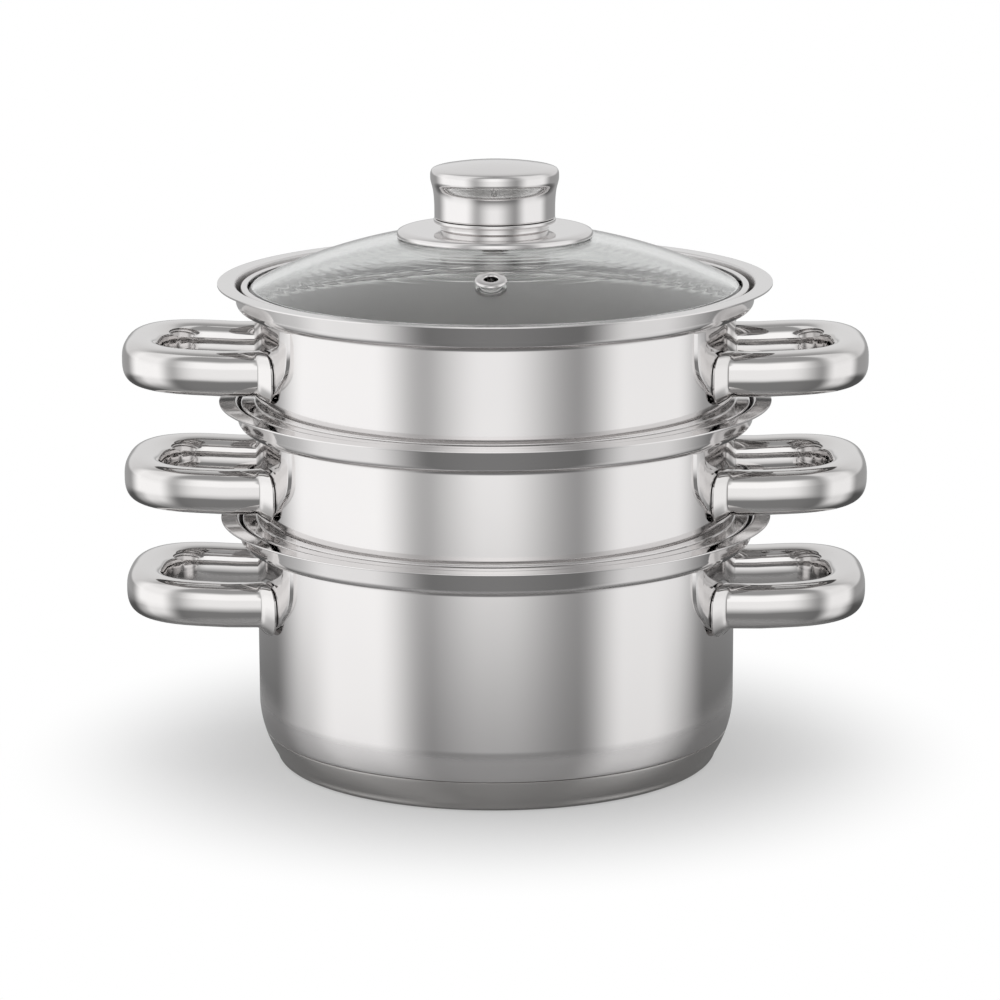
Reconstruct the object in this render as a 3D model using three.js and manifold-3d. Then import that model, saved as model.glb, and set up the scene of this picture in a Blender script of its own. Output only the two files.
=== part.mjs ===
// Three-tier steamer pot: a pot, two steamer inserts and a glass lid, stacked.
// Millimetres, +Z up, origin at the middle of the base, handles along X, steam vent towards -Y.
import * as THREE from 'three';
import { ConvexGeometry } from 'three/addons/geometries/ConvexGeometry.js';
import { mergeVertices } from 'three/addons/utils/BufferGeometryUtils.js';
import Module from 'manifold-3d';

const wasm = await Module();
wasm.setup();

// Driving dimensions of the set
const wallRadius = 90.6;
const sheet = 0.6;
const potHeight = 93.7;
const tierPitch = 44.65;
const gap = 0.3;
const overrun = 2;

// Counts of flat faces round each turned piece
const vesselFacets = 28;
const knobFacets = 24;
const smallFacets = 12;
const holeFacets = 6;

// Rim of every vessel: a shoulder, a band and a flat lip
const rim = {
  bandReach: 7.4,
  bandDepth: 9.8,
  bandTaper: 0.7,
  bandCorner: 3.2,
  lipReach: 13.6,
  wallFillet: 1.2,
};

// Base of the pot: an encapsulated disc
const base = {
  capHeight: 12.2,
  curveHeight: 24,
  curveRadius: 39,
  edgeHeight: 2.5,
  edgeCorner: 2.4,
  edgeShare: 0.3,
  discThickness: 4.8,
  discInset: 5.2,
  tuckClearance: 0.48,
  floorCorner: 13.6,
  floorCornerShares: [[0.58, 0.34], [0.9, 0.74]],
};

// Foot of a steamer insert, and the holes in its floor
const insert = {
  footClearance: 0.8,
  footDepth: 7,
  footCorner: 4.5,
  beadClearance: 1.9,
  beadDrop: 0.5,
  beadCorner: 1.8,
  beadTopCorner: 1,
  beadFillet: 1.2,
  holeRadius: 2.7,
  holePitch: 20,
  holeRings: 3,
  holesPerRing: 6,
};

// Loop handle, with its legs along X
const handle = {
  potDrop: 28.7,
  insertDrop: 30,
  reach: 49.7,
  halfWidth: 39.5,
  bendStart: 16.4,
  bendPower: 2.8,
  bendPoints: 12,
  steps: 14,
  height: 16.5,
  thickness: 14.5,
  wall: 1.2,
  rise: 1.6,
  cornerShare: 0.29,
};

// Flare of a leg's end against the wall: how far it spreads to each side
const flare = {
  length: 2.2,
  outwards: 5,
  inwards: 1.5,
  up: 0.4,
  down: 2.6,
};

// Bracket between a handle and the wall
const bracket = {
  plate: 0.8,
  wingWidth: 13.4,
  wingTopWidth: 4.3,
  bottomMargin: 0.25,
  strapDrop: 1.5,
  spigotLength: 7,
  spigotWall: 1,
  strapSideShare: 0.8,
  legTopShare: 0.8,
  wingOuterShares: [[0.19, -0.83], [0.34, -0.66], [0.6, -0.23], [0.85, 0.27], [0.96, 0.73], [1, 1.4]],
  wingInnerShares: [[0.58, 1.6], [0.34, 1.38], [-0.11, 0.92]],
};

// Lid: a glass dome in a rolled ring
const lid = {
  domeRise: 23,
  glassEdgeDrop: 1.9,
  glassThickness: 4,
  ringClearance: 1.9,
  ringTopWidth: 2.6,
  ringSheet: 0.8,
  ringCorner: 0.7,
  ringKnee: 1.6,
  footReach: 5.1,
  footHeight: 1.6,
  ventInset: 30.4,
  ventBore: 2.5,
  ventShank: 3.9,
  ventFlange: 5.85,
  ventFlangeThickness: 1,
  glassHoleClearance: 0.4,
};

// Knob: a pressed shell on a pressed dish, held by one screw
const knob = {
  plateRadius: 36.8,
  plateSheet: 0.8,
  plateRimHeight: 2.6,
  bossFootRadius: 20,
  bossFootHeight: 2.5,
  bossRadius: 22.9,
  bossHeight: 1.5,
  waist: 22.6,
  brim: 24.1,
  height: 20.9,
  brimShare: 0.74,
  waistShare: 0.3,
  flareShare: 0.45,
  cornerShares: [0.2, 0.55],
  domeShare: 0.75,
  domeRise: 2.4,
  brimCorner: 2.2,
  shell: 0.8,
  coreClearance: 0.5,
  coreHeight: 15,
  insertRadius: 4.6,
  insertLength: 11,
  screwRadius: 2.5,
  screwHeadRadius: 5,
  screwHeadHeight: 3,
  screwHeadShares: [0.75, 0.45],
  washerRadius: 7.5,
  washerThickness: 1,
  sealRadius: 9,
  sealThickness: 1.5,
  spacerRadius: 9,
};

// Share of the sheet under which points are one, and the least cosine of a mitre
const weldShare = 1e-4;
const mitreShare = 0.5;

// Radii and heights that follow from the wall and the stack
const bandRadius = wallRadius + rim.bandReach;
const lipRadius = wallRadius + rim.lipReach;
const handleEnd = wallRadius + handle.reach;
const legEnd = wallRadius + gap + bracket.plate + gap;
const flareStart = Math.sqrt(legEnd ** 2 - (handle.halfWidth + flare.outwards) ** 2);
const lipHeights = [potHeight, potHeight + tierPitch, potHeight + 2 * tierPitch];
const [, , topLip] = lipHeights;
const shoulderTop = (lip) => lip - rim.bandDepth + sheet;
const seatHeight = (lip) => shoulderTop(lip) + gap;

// Materials
const finish = (color, roughness, metalness) => {
  return new THREE.MeshStandardMaterial({ color, roughness, metalness });
};
const materials = {
  polished: () => finish(0xcfcfce, 0.12, 1),
  satin: () => finish(0xc4c4c2, 0.3, 1),
  aluminium: () => finish(0xb9bbbd, 0.45, 1),
  brass: () => finish(0xb89b55, 0.35, 1),
  plastic: () => finish(0x1c1c1d, 0.5, 0),
  rubber: () => finish(0x2a2a2b, 0.8, 0),
  glass: () => {
    const glass = finish(0xdfe6e4, 0.05, 0);
    glass.transparent = true;
    glass.opacity = 0.35;
    return glass;
  },
};

// Turn a point list into a closed body, with its faces outwards
function toManifold(geometry) {
  const bare = geometry.index ? geometry.toNonIndexed() : geometry.clone();
  bare.deleteAttribute('normal');
  bare.deleteAttribute('uv');
  const merged = mergeVertices(bare, sheet * weldShare);
  const triVerts = [];
  const index = merged.index.array;
  const at = (i) => new THREE.Vector3().fromBufferAttribute(merged.attributes.position, i);
  let volume = 0;
  for (let i = 0; i < index.length; i += 3) {
    const [a, b, c] = [index[i], index[i + 1], index[i + 2]];
    if (a === b || b === c || c === a) {
      continue;
    }
    volume += at(a).dot(at(b).cross(at(c)));
    triVerts.push(a, b, c);
  }
  if (volume < 0) {
    triVerts.reverse();
  }
  return new wasm.Manifold(new wasm.Mesh({
    numProp: 3,
    vertProperties: new Float32Array(merged.attributes.position.array),
    triVerts: new Uint32Array(triVerts),
  }));
}

function toGeometry(body) {
  const mesh = body.getMesh();
  const geometry = new THREE.BufferGeometry();
  geometry.setAttribute('position', new THREE.BufferAttribute(new Float32Array(mesh.vertProperties), 3));
  geometry.setIndex(new THREE.BufferAttribute(new Uint32Array(mesh.triVerts), 1));
  geometry.computeVertexNormals();
  return geometry;
}

// A named sub-part with a material of its own
function part(name, body, material) {
  const mesh = new THREE.Mesh(toGeometry(body), material);
  mesh.name = name;
  return mesh;
}

const point = (radius, height) => new THREE.Vector2(radius, height);

// Points on an arc, from one angle to another in degrees
function arc(radius, height, size, from, to, steps) {
  const points = [];
  for (let i = 0; i <= steps; i += 1) {
    const angle = THREE.MathUtils.degToRad(from + ((to - from) * i) / steps);
    points.push(point(radius + size * Math.cos(angle), height + size * Math.sin(angle)));
  }
  return points;
}

// The loop of points round a sheet, which lies to the left of the line of its outer face
function sheetLoop(line, thickness) {
  const inner = line.map((here, i) => {
    const before = line[Math.max(i - 1, 0)];
    const after = line[Math.min(i + 1, line.length - 1)];
    const entering = (i > 0 ? here.clone().sub(before) : after.clone().sub(here)).normalize();
    const leaving = (i < line.length - 1 ? after.clone().sub(here) : here.clone().sub(before)).normalize();
    const enteringNormal = point(-entering.y, entering.x);
    const leavingNormal = point(-leaving.y, leaving.x);
    const mitre = enteringNormal.clone().add(leavingNormal).normalize();
    const reach = thickness / Math.max(mitre.dot(leavingNormal), mitreShare);
    const moved = here.clone().addScaledVector(mitre, reach);
    return point(here.x === 0 ? 0 : moved.x, moved.y);
  });
  return [...line, ...inner.reverse()];
}

// A body turned about the Z axis from a loop of points
function turned(loop, facets) {
  const onAxis = loop[0].x === 0 && loop[loop.length - 1].x === 0;
  const profile = onAxis ? loop : [...loop, loop[0].clone()];
  return toManifold(new THREE.LatheGeometry(profile, facets).rotateX(Math.PI / 2));
}

// A ring or a disc with square edges
function turnedRing(innerRadius, outerRadius, bottom, top, facets) {
  return turned([
    point(innerRadius, bottom),
    point(outerRadius, bottom),
    point(outerRadius, top),
    point(innerRadius, top),
  ], facets);
}

// Outer line of a rim, from the top of the wall to the edge of the lip
function rimLine(lip) {
  const underside = lip - rim.bandDepth;
  const cornerCentre = bandRadius - rim.bandTaper - rim.bandCorner;
  return [
    point(wallRadius, underside - rim.wallFillet),
    point(wallRadius + rim.wallFillet, underside),
    ...arc(cornerCentre, underside + rim.bandCorner, rim.bandCorner, -90, 0, 2),
    point(bandRadius, lip - sheet),
    point(lipRadius, lip - sheet),
  ];
}

// Radius of the base's curved side at a height
function baseCurve(height) {
  const drop = base.curveHeight - height;
  return wallRadius - base.curveRadius + Math.sqrt(base.curveRadius ** 2 - drop ** 2);
}

// Pot: the body steps in at the seam, where the cap covers it
function potBody() {
  const floor = sheet + gap + base.discThickness + gap;
  const seam = base.capHeight + gap;
  const tucked = baseCurve(seam) - sheet - base.tuckClearance;
  const cornerDepth = seam - floor;
  const floorFlat = tucked - base.floorCorner;
  const corner = ([across, up]) => point(floorFlat + base.floorCorner * across, floor + cornerDepth * up);
  const line = [
    point(0, floor),
    point(floorFlat, floor),
    ...base.floorCornerShares.map(corner),
    point(tucked, seam),
    point(baseCurve(seam), seam),
    point(baseCurve((seam + base.curveHeight) / 2), (seam + base.curveHeight) / 2),
    point(wallRadius, base.curveHeight),
    ...rimLine(potHeight),
  ];
  return turned(sheetLoop(line, sheet), vesselFacets);
}

function potBaseCap() {
  const edge = baseCurve(base.edgeHeight);
  const middle = (base.edgeHeight + base.capHeight) / 2;
  const line = [
    point(0, 0),
    point(edge - base.edgeCorner, 0),
    point(edge - base.edgeCorner * base.edgeShare, base.edgeHeight * base.edgeShare),
    point(edge, base.edgeHeight),
    point(baseCurve(middle), middle),
    point(baseCurve(base.capHeight), base.capHeight),
  ];
  return turned(sheetLoop(line, sheet), vesselFacets);
}

function potBaseDisc() {
  const bottom = sheet + gap;
  const radius = baseCurve(base.edgeHeight) - base.discInset;
  return turnedRing(0, radius, bottom, bottom + base.discThickness, vesselFacets);
}

// Steamer insert: a foot inside the vessel below, a bead that fills that vessel's rim, a wall and a rim
function insertBody(lipBelow, lip) {
  const seat = seatHeight(lipBelow);
  const floor = seat - insert.footDepth;
  const footRadius = wallRadius - sheet - insert.footClearance;
  const beadRadius = bandRadius - sheet - insert.beadClearance;
  const beadTop = lipBelow - insert.beadDrop;
  const cornerCentre = footRadius - insert.footCorner;
  const line = [
    point(0, floor),
    ...arc(cornerCentre, floor + insert.footCorner, insert.footCorner, -90, 0, 2),
    point(footRadius, seat),
    point(beadRadius - insert.beadCorner, seat),
    point(beadRadius, seat + insert.beadCorner),
    point(beadRadius, beadTop - insert.beadTopCorner),
    point(beadRadius - insert.beadTopCorner, beadTop),
    point(wallRadius + insert.beadFillet, beadTop),
    point(wallRadius, beadTop + insert.beadFillet),
    ...rimLine(lip),
  ];
  const shell = turned(sheetLoop(line, sheet), vesselFacets);
  return shell.subtract(steamHoles(floor));
}

// Steam holes in rings, with a pitch between rings and six more holes in each ring outwards
function steamHoles(floor) {
  const drills = [];
  for (let ring = 0; ring <= insert.holeRings; ring += 1) {
    const count = Math.max(ring * insert.holesPerRing, 1);
    for (let i = 0; i < count; i += 1) {
      const angle = ((i + 0.5) / count) * 2 * Math.PI;
      const drill = new THREE.CylinderGeometry(
        insert.holeRadius,
        insert.holeRadius,
        sheet + 2 * overrun,
        holeFacets,
      );
      drill.rotateX(Math.PI / 2);
      drill.translate(
        ring * insert.holePitch * Math.cos(angle),
        ring * insert.holePitch * Math.sin(angle),
        floor + sheet / 2,
      );
      drills.push(toManifold(drill));
    }
  }
  return wasm.Manifold.union(drills);
}

// Section of a handle leg: a rounded box, tall along Z, grown or shrunk by an amount all round
function legSection(grown) {
  const halfHeight = handle.height / 2 + grown;
  const halfThickness = handle.thickness / 2 + grown;
  const corner = handle.cornerShare * (handle.height + 2 * grown);
  const shape = new THREE.Shape();
  shape.moveTo(halfHeight - corner, -halfThickness);
  shape.lineTo(halfHeight, -halfThickness + corner);
  shape.lineTo(halfHeight, halfThickness - corner);
  shape.lineTo(halfHeight - corner, halfThickness);
  shape.lineTo(-halfHeight + corner, halfThickness);
  shape.lineTo(-halfHeight, halfThickness - corner);
  shape.lineTo(-halfHeight, -halfThickness + corner);
  shape.lineTo(-halfHeight + corner, -halfThickness);
  shape.closePath();
  return shape;
}

// A curve that carries a section level, without twisting it
class LevelCurve extends THREE.CatmullRomCurve3 {
  computeFrenetFrames(steps) {
    const up = new THREE.Vector3(0, 0, 1);
    const frames = { tangents: [], normals: [], binormals: [] };
    for (let i = 0; i <= steps; i += 1) {
      const tangent = this.getTangentAt(i / steps);
      const binormal = new THREE.Vector3().crossVectors(up, tangent).normalize();
      frames.tangents.push(tangent);
      frames.binormals.push(binormal);
      frames.normals.push(new THREE.Vector3().crossVectors(tangent, binormal));
    }
    return frames;
  }
}

// Middle line of the loop: two legs along X and a rounded end, rising a little outwards
function loopCurve(centre) {
  const legSide = handle.halfWidth - handle.thickness / 2;
  const end = handleEnd - handle.thickness / 2;
  const bendStart = wallRadius + handle.bendStart;
  const inside = flareStart - overrun;
  const straight = wallRadius + bracket.spigotLength + overrun;
  const height = (x) => centre + (handle.rise * Math.max(x - straight, 0)) / (end - straight);
  const points = [inside, straight].map((x) => new THREE.Vector3(x, -legSide, centre));
  for (let i = 0; i <= handle.bendPoints; i += 1) {
    const angle = (Math.PI * i) / handle.bendPoints;
    const x = bendStart + (end - bendStart) * Math.sin(angle) ** (2 / handle.bendPower);
    const y = -legSide * Math.sign(Math.cos(angle)) * Math.abs(Math.cos(angle)) ** (2 / handle.bendPower);
    points.push(new THREE.Vector3(x, y, height(x)));
  }
  points.push(...[straight, inside].map((x) => new THREE.Vector3(x, legSide, centre)));
  return new LevelCurve(points, false, 'centripetal');
}

function sweptLoop(centre, grown) {
  return toManifold(new THREE.ExtrudeGeometry(legSection(grown), {
    steps: handle.steps,
    bevelEnabled: false,
    extrudePath: loopCurve(centre),
  }));
}

// A straight length of the leg section on both legs, along X
function legBlocks(centre, grown, from, to) {
  const legSide = handle.halfWidth - handle.thickness / 2;
  const blocks = [-legSide, legSide].map((side) => {
    const block = new THREE.ExtrudeGeometry(legSection(grown), {
      steps: 1,
      bevelEnabled: false,
      depth: to - from,
    });
    block.rotateY(Math.PI / 2);
    block.translate(from, side, centre);
    return toManifold(block);
  });
  return wasm.Manifold.union(blocks);
}

// Flares on both legs: each spreads from the leg's section to a wider one at the bracket's curve
function flares(centre) {
  const legSide = handle.halfWidth - handle.thickness / 2;
  const tall = (handle.height + flare.up + flare.down) / handle.height;
  const wide = (handle.thickness + flare.outwards + flare.inwards) / handle.thickness;
  const lift = (flare.up - flare.down) / 2;
  const spread = (flare.outwards - flare.inwards) / 2;
  const onCurve = (y) => Math.sqrt(legEnd ** 2 - y ** 2);
  const points = [];
  legSection(0).getPoints().forEach(({ x: up, y: across }) => {
    const leg = legSide + across;
    const edge = legSide + across * wide + spread;
    const edgeHeight = centre + up * tall + lift;
    points.push(new THREE.Vector3(onCurve(leg) + flare.length, leg, centre + up));
    points.push(new THREE.Vector3(onCurve(edge), edge, edgeHeight));
    points.push(new THREE.Vector3(flareStart - overrun, edge, edgeHeight));
  });
  const near = toManifold(new ConvexGeometry(points));
  return near.add(near.mirror([0, 1, 0]));
}

// Hollow loop with a flare at each leg's end, cut to the bracket's curve
function handleBody(centre) {
  const clear = turnedRing(0, legEnd, centre - handle.height, centre + handle.height, vesselFacets);
  return sweptLoop(centre, 0)
    .add(flares(centre))
    .subtract(sweptLoop(centre, -handle.wall))
    .subtract(clear);
}

// Outline of the bracket's plate, half of it, as distances along Y and up from the handle's middle
function bracketOutline(drop) {
  const top = drop - rim.bandDepth - rim.wallFillet - gap;
  const legTop = handle.height / 2;
  const bottom = -legTop - bracket.bottomMargin;
  const legInner = handle.halfWidth - handle.thickness;
  const wingOuter = handle.halfWidth + bracket.wingWidth;
  const onWing = ([across, up]) => [handle.halfWidth + bracket.wingWidth * across, legTop * up];
  const half = [
    [legInner, bottom],
    [handle.halfWidth - handle.wall, bottom],
    ...bracket.wingOuterShares.map(onWing),
    [wingOuter, top],
    [wingOuter - bracket.wingTopWidth, top],
    ...bracket.wingInnerShares.map(onWing),
    [legInner, legTop * bracket.legTopShare],
    [legInner * bracket.strapSideShare, -bracket.strapDrop],
  ];
  const mirrored = half.map(([side, up]) => [-side, up]).reverse();
  return [...half, ...mirrored];
}

// Pressed shoe: a curved plate on the wall, and a spigot inside each leg
function bracketBody(centre, drop) {
  const outline = new THREE.Shape();
  bracketOutline(drop).forEach(([side, up], i) => {
    if (i === 0) {
      outline.moveTo(side, up);
    } else {
      outline.lineTo(side, up);
    }
  });
  outline.closePath();
  const inner = wallRadius + gap;
  const outer = inner + bracket.plate;
  const reach = outer + bracket.spigotLength;
  const slab = new THREE.ExtrudeGeometry(outline, { steps: 1, bevelEnabled: false, depth: reach });
  slab.rotateX(Math.PI / 2);
  slab.rotateZ(Math.PI / 2);
  slab.translate(0, 0, centre);
  const bottom = centre - handle.height;
  const top = centre + drop;
  const plateRing = turnedRing(inner, outer, bottom, top, vesselFacets);
  const wallDisc = turnedRing(0, inner, bottom, top, vesselFacets);
  const spigotGrown = -handle.wall - gap;
  const spigots = legBlocks(centre, spigotGrown, wallRadius / 2, reach);
  const bores = legBlocks(centre, spigotGrown - bracket.spigotWall, wallRadius / 2, reach + overrun);
  return toManifold(slab).intersect(plateRing).add(spigots.subtract(wallDisc)).subtract(bores);
}

// Radii of the lid's ring and glass, and heights of the glass at a radius
const ringOuter = bandRadius - sheet - lid.ringClearance;
const ringWall = ringOuter - lid.ringSheet;
const glassRadius = ringWall - gap;
const ringFoot = seatHeight(topLip) + lid.footHeight;
const glassEdge = ringFoot + gap + lid.glassThickness;
const ringTop = glassEdge + lid.glassEdgeDrop;
const ventPlace = glassRadius - lid.ventInset;
const domeRadius = (glassRadius ** 2 + lid.domeRise ** 2) / (2 * lid.domeRise);
const glassApex = glassEdge + lid.domeRise;
const glassTop = (radius) => glassApex - domeRadius + Math.sqrt(domeRadius ** 2 - radius ** 2);
const glassUnder = (radius) => glassTop(radius) - lid.glassThickness;

// Ring section: a fold over the glass, a wall, and a hemmed foot that carries it and stands on the shoulder
function lidRing() {
  const seat = seatHeight(topLip);
  const foot = ringOuter - lid.footReach;
  const fold = ringOuter - lid.ringTopWidth;
  return turned([
    point(foot, seat),
    point(ringOuter - lid.ringKnee, seat),
    point(ringOuter, seat + lid.ringKnee),
    point(ringOuter, ringTop - lid.ringCorner),
    point(ringOuter - lid.ringCorner, ringTop),
    point(fold, ringTop),
    point(fold, glassTop(fold) + gap),
    point(ringWall, glassTop(fold) + gap),
    point(ringWall, ringFoot),
    point(foot, ringFoot),
  ], vesselFacets);
}

// Places a piece on the vent's axis, square to the glass
function atVent(body) {
  const lean = Math.asin(ventPlace / domeRadius);
  return body.rotate([THREE.MathUtils.radToDeg(lean), 0, 0])
    .translate([0, -ventPlace, glassTop(ventPlace)]);
}

function lidGlass() {
  const hole = knob.screwRadius + lid.glassHoleClearance;
  const clamped = knob.sealRadius + gap;
  const radii = [hole, clamped, knob.plateRadius, ventPlace, (ventPlace + glassRadius) / 2, glassRadius];
  const outer = radii.map((radius) => point(radius, glassTop(radius)));
  const under = radii.map((radius) => point(radius, glassUnder(radius)));
  const dome = turned([...under, ...outer.reverse()], vesselFacets);
  const drillRadius = lid.ventShank + lid.glassHoleClearance;
  const drillDepth = lid.glassThickness + overrun;
  return dome.subtract(atVent(turnedRing(0, drillRadius, -drillDepth, overrun, smallFacets)));
}

// Vent rivet: a flange above and below the glass, with a bore
function ventEyelet() {
  const flangeUnder = -lid.glassThickness - gap;
  return atVent(turned([
    point(lid.ventBore, flangeUnder - lid.ventFlangeThickness),
    point(lid.ventFlange - gap, flangeUnder - lid.ventFlangeThickness),
    point(lid.ventFlange - gap, flangeUnder),
    point(lid.ventShank, flangeUnder),
    point(lid.ventShank, gap),
    point(lid.ventFlange, gap),
    point(lid.ventFlange - lid.ventFlangeThickness / 2, gap + lid.ventFlangeThickness),
    point(lid.ventBore, gap + lid.ventFlangeThickness),
  ], smallFacets));
}

// Heights of the knob's pieces, from the glass upwards
const screwHole = knob.screwRadius + gap;
const plateEdge = glassTop(knob.plateRadius) + gap;
const plateTop = plateEdge + knob.plateRimHeight;
const bossStep = plateTop + knob.bossFootHeight;
const bossTop = bossStep + knob.bossHeight;
const knobBottom = bossTop + gap;

// Pressed dish with a two-stepped boss: a narrow foot, and a flange that carries the knob
function knobBasePlate() {
  const { plateRadius, bossFootRadius, bossRadius, plateRimHeight } = knob;
  const dish = sheetLoop([
    point(plateRadius, plateEdge),
    point(plateRadius, plateEdge + plateRimHeight / 2),
    point(plateRadius - plateRimHeight, plateTop),
    point(bossFootRadius, plateTop),
    point(bossFootRadius, bossStep),
    point(screwHole, bossStep),
  ], knob.plateSheet);
  const flange = turnedRing(screwHole, bossRadius, bossStep - knob.plateSheet / 2, bossTop, knobFacets);
  return turned(dish, knobFacets).add(flange);
}

function knobCap() {
  const { brim, waist, height, brimShare, waistShare, brimCorner, domeRise } = knob;
  const [insetShare, dropShare] = knob.cornerShares;
  const corner = knobBottom + height - domeRise;
  const line = [
    point(waist, knobBottom),
    point(waist, knobBottom + height * waistShare),
    point(waist + (brim - waist) * knob.flareShare, knobBottom + (height * (waistShare + brimShare)) / 2),
    point(brim, knobBottom + height * brimShare),
    point(brim - brimCorner * insetShare, corner - brimCorner * dropShare),
    point(brim - brimCorner, corner),
    point((brim - brimCorner) / 2, corner + domeRise * knob.domeShare),
    point(0, knobBottom + height),
  ];
  return turned(sheetLoop(line, knob.shell), knobFacets);
}

function knobCore() {
  const radius = knob.waist - knob.shell - knob.coreClearance;
  const nutRadius = knob.insertRadius + gap;
  const nutTop = knobBottom + knob.insertLength + gap;
  return turned([
    point(0, nutTop),
    point(nutRadius, nutTop),
    point(nutRadius, knobBottom),
    point(radius, knobBottom),
    point(radius, knobBottom + knob.coreHeight),
    point(0, knobBottom + knob.coreHeight),
  ], knobFacets);
}

// Screw from under the glass, with its washers, up into the nut
const sealTop = glassUnder(knob.sealRadius) - gap;
const washerTop = sealTop - knob.sealThickness - gap;
const headTop = washerTop - knob.washerThickness - gap;

function knobScrew() {
  const { screwRadius, screwHeadRadius, screwHeadHeight } = knob;
  const [flatShare, edgeShare] = knob.screwHeadShares;
  return turned([
    point(0, headTop - screwHeadHeight),
    point(screwHeadRadius * flatShare, headTop - screwHeadHeight),
    point(screwHeadRadius, headTop - screwHeadHeight * (1 - edgeShare)),
    point(screwHeadRadius, headTop),
    point(screwRadius, headTop),
    point(screwRadius, knobBottom + knob.insertLength - gap),
    point(0, knobBottom + knob.insertLength - gap),
  ], smallFacets);
}

function screwRing(outerRadius, bottom, top) {
  return turnedRing(screwHole, outerRadius, bottom, top, smallFacets);
}

// A vessel's two handles and brackets
function addHandles(group, name, lip, drop) {
  const centre = lip - drop;
  const shoe = bracketBody(centre, drop);
  const loop = handleBody(centre);
  const turn = { right: 0, left: 180 };
  Object.entries(turn).forEach(([side, degrees]) => {
    group.add(part(`${name}_${side}_bracket`, shoe.rotate([0, 0, degrees]), materials.polished()));
    group.add(part(`${name}_${side}_handle`, loop.rotate([0, 0, degrees]), materials.polished()));
  });
}

function pot() {
  const group = new THREE.Group();
  group.add(part('pot_body', potBody(), materials.polished()));
  group.add(part('pot_base_disc', potBaseDisc(), materials.aluminium()));
  group.add(part('pot_base_cap', potBaseCap(), materials.satin()));
  addHandles(group, 'pot', potHeight, handle.potDrop);
  return group;
}

function steamer(name, lipBelow, lip) {
  const group = new THREE.Group();
  group.add(part(`${name}_body`, insertBody(lipBelow, lip), materials.polished()));
  addHandles(group, name, lip, handle.insertDrop);
  return group;
}

function glassLid() {
  const group = new THREE.Group();
  const spacerTop = bossStep - knob.plateSheet - gap;
  const washerBottom = washerTop - knob.washerThickness;
  const insertTop = knobBottom + knob.insertLength;
  group.add(part('lid_glass', lidGlass(), materials.glass()));
  group.add(part('lid_ring', lidRing(), materials.polished()));
  group.add(part('vent_eyelet', ventEyelet(), materials.polished()));
  group.add(part('knob_base_plate', knobBasePlate(), materials.polished()));
  group.add(part('knob_cap', knobCap(), materials.polished()));
  group.add(part('knob_core', knobCore(), materials.plastic()));
  const threaded = screwRing(knob.insertRadius, knobBottom, insertTop);
  const spacer = screwRing(knob.spacerRadius, glassApex + gap, spacerTop);
  const seal = screwRing(knob.sealRadius, sealTop - knob.sealThickness, sealTop);
  const washer = screwRing(knob.washerRadius, washerBottom, washerTop);
  group.add(part('knob_threaded_insert', threaded, materials.brass()));
  group.add(part('knob_spacer', spacer, materials.rubber()));
  group.add(part('knob_seal', seal, materials.rubber()));
  group.add(part('knob_washer', washer, materials.satin()));
  group.add(part('knob_screw', knobScrew(), materials.satin()));
  return group;
}

const steamerPot = new THREE.Group();
const [potLip, lowerLip, upperLip] = lipHeights;
steamerPot.add(pot());
steamerPot.add(steamer('lower_steamer', potLip, lowerLip));
steamerPot.add(steamer('upper_steamer', lowerLip, upperLip));
steamerPot.add(glassLid());

export default steamerPot;
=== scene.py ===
# %% [markdown]
# # A three-tier steamer pot in polished stainless steel
#
# The set is a pot, two steamer inserts and a glass lid, stacked. Nearly all of it is thin stainless steel
# sheet, drawn in a press and then polished, so it is mostly made of turned shapes: one line, spun round
# the middle axis. This lesson draws each line with real sizes in millimetres, spins it, gives it the
# thickness of the sheet, and then lights the set as a photographer lights steel, because a mirror shows
# nothing but what stands around it.

# %% Load the frame
import math

import bpy
from mathutils import Matrix, Vector


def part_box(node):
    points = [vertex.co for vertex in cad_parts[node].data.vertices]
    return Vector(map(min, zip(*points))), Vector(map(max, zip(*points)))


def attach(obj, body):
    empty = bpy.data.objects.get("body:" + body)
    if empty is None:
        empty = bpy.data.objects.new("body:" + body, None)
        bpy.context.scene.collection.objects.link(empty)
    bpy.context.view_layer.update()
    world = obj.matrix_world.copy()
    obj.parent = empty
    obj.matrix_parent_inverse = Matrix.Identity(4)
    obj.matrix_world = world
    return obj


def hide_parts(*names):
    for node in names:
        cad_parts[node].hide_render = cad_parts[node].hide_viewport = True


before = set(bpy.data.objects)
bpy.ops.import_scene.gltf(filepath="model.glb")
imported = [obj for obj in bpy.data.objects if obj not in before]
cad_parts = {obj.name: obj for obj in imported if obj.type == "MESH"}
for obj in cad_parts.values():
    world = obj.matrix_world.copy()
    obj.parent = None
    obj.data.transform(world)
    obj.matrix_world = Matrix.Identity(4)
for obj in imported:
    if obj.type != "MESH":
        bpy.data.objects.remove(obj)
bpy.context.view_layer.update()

scene = bpy.context.scene
mm = 0.001

# %% [markdown]
# ## The camera
#
# The camera comes first, so that each piece can be judged in the picture as it is made. Its place was
# worked out from the ellipses of the rims: it stands about a metre and a half away, a little above the
# lid and slightly to the right of the steam vent, and looks down by twelve degrees. A long lens keeps
# the rims flat, as in a catalogue picture.

# %% Camera
camera_distance = 1.5374
camera_height = 0.4352
camera_pitch = math.radians(12.362)
camera_roll = math.radians(-0.191)
camera_side = math.radians(1.3)

camera = bpy.data.objects.new("camera", bpy.data.cameras.new("camera"))
camera.data.lens = 149.09
camera.data.sensor_width = 36
camera.data.shift_x = 0.0043
aim = Matrix.Rotation(math.pi / 2 - camera_pitch, 4, "X") @ Matrix.Rotation(camera_roll, 4, "Z")
place = Matrix.Rotation(camera_side, 4, "Z") @ Matrix.Translation((0, -camera_distance, camera_height))
camera.matrix_world = place @ aim
scene.collection.objects.link(camera)
scene.camera = camera
scene.view_settings.view_transform = "Standard"
print("camera", tuple(round(v, 3) for v in camera.location))

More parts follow.
